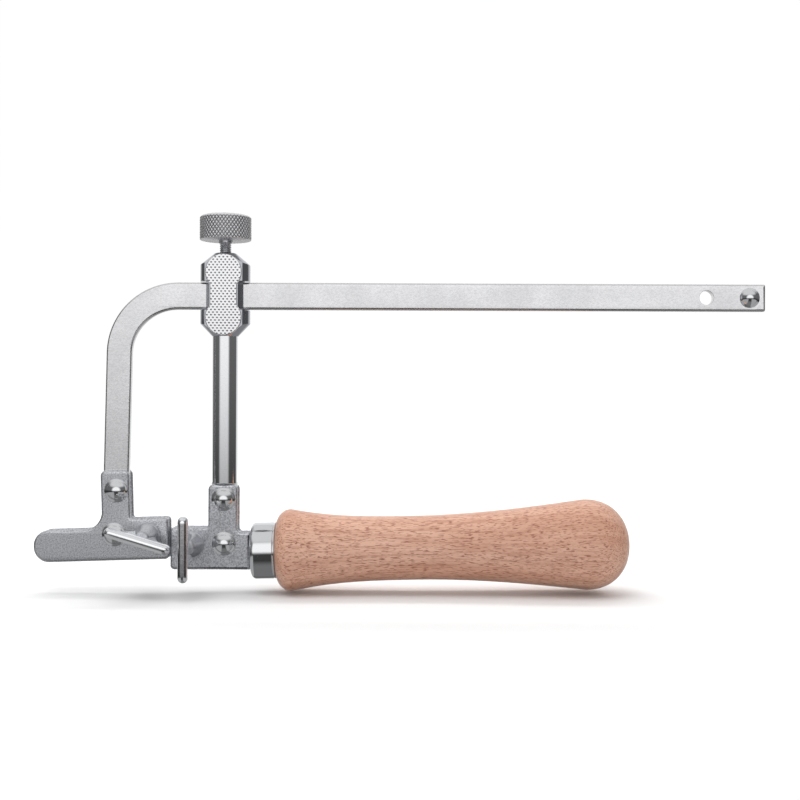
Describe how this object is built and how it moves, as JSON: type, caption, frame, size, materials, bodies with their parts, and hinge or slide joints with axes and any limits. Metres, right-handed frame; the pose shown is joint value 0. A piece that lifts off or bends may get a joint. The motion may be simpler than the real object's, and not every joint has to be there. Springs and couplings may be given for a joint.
{
  "type": "jeweller's saw frame",
  "caption": "Adjustable saw frame with a wooden handle, bent sliding back bar, knurled clamp screw and wing-screw blade clamps.",
  "frame": {"origin": "middle of the handle, on its axis", "axes": "+X along the back bar away from the bent leg, +Y to the back, +Z from the blade line up to the back bar; the wing screws are at the front, -Y"},
  "size_m": [0.2423, 0.0358, 0.1249],
  "materials": {
    "wood": "satin, pale beech with short dark flecks",
    "bar_steel": "pale satin nickel, faintly brushed along the bar",
    "jaw_steel": "tumbled satin nickel with a fine grain",
    "chrome": "polished",
    "block_chrome": "polished sides, chequered bright faces",
    "knurled_steel": "diamond knurl",
    "screw_steel": "turned, oiled",
    "pad_steel": "ground",
    "brass": "turned"
  },
  "bodies": {
    "handle_frame": {"handle": "wood", "ferrule": "chrome", "tang": "pad_steel", "rear_jaw_front_cheek": "jaw_steel", "rear_jaw_rear_cheek": "jaw_steel", "rear_jaw_rivets": "chrome", "post": "chrome", "clamp_block": "block_chrome", "rear_screw_bush": "chrome"},
    "bow": {"back_bar": "bar_steel", "stop_rivet": "chrome", "front_jaw_front_cheek": "jaw_steel", "front_jaw_rear_cheek": "jaw_steel", "front_jaw_rivets": "chrome", "front_screw_bush": "chrome"},
    "pressure_plug": {"pressure_plug": "brass"},
    "thumb_screw": {"thumb_screw_shank": "screw_steel", "thumb_screw_knob": "knurled_steel"},
    "front_clamp_pad": {"front_clamp_pad": "pad_steel"},
    "front_wing_screw": {"front_wing_stud": "chrome", "front_wing": "chrome"},
    "rear_clamp_pad": {"rear_clamp_pad": "pad_steel"},
    "rear_wing_screw": {"rear_wing_stud": "chrome", "rear_wing": "chrome"}
  },
  "joints": [
    {"name": "bow_slide", "type": "slide", "parent": "handle_frame", "child": "bow", "axis": [-1, 0, 0], "range_m": [0, 0.1645]},
    {"name": "plug_slide", "type": "slide", "parent": "handle_frame", "child": "pressure_plug", "axis": [0, 0, 1], "range_m": [0, 0.00105]},
    {"name": "thumb_screw_spin", "type": "hinge", "parent": "pressure_plug", "child": "thumb_screw", "pos_m": [-0.076, 0, 0.1], "axis": [0, 0, 1], "range_deg": [0, 540]},
    {"name": "front_pad_slide", "type": "slide", "parent": "bow", "child": "front_clamp_pad", "axis": [0, -1, 0], "range_m": [0, 0.000875]},
    {"name": "front_wing_spin", "type": "hinge", "parent": "front_clamp_pad", "child": "front_wing_screw", "pos_m": [-0.1009, -0.01, 0.00375], "axis": [0, -1, 0], "range_deg": [0, 450]},
    {"name": "rear_pad_slide", "type": "slide", "parent": "handle_frame", "child": "rear_clamp_pad", "axis": [0, -1, 0], "range_m": [-0.0000816, 0.0000816]},
    {"name": "rear_wing_spin", "type": "hinge", "parent": "rear_clamp_pad", "child": "rear_wing_screw", "pos_m": [-0.0864, -0.01, 0.0011], "axis": [0, -1, 0], "range_deg": [-42, 42]}
  ],
  "couplings": [
    {"joint": "thumb_screw_spin", "follows": "plug_slide", "rad_per_m": 8975.9},
    {"joint": "front_wing_spin", "follows": "front_pad_slide", "rad_per_m": 8975.9},
    {"joint": "rear_wing_spin", "follows": "rear_pad_slide", "rad_per_m": 8975.9}
  ]
}
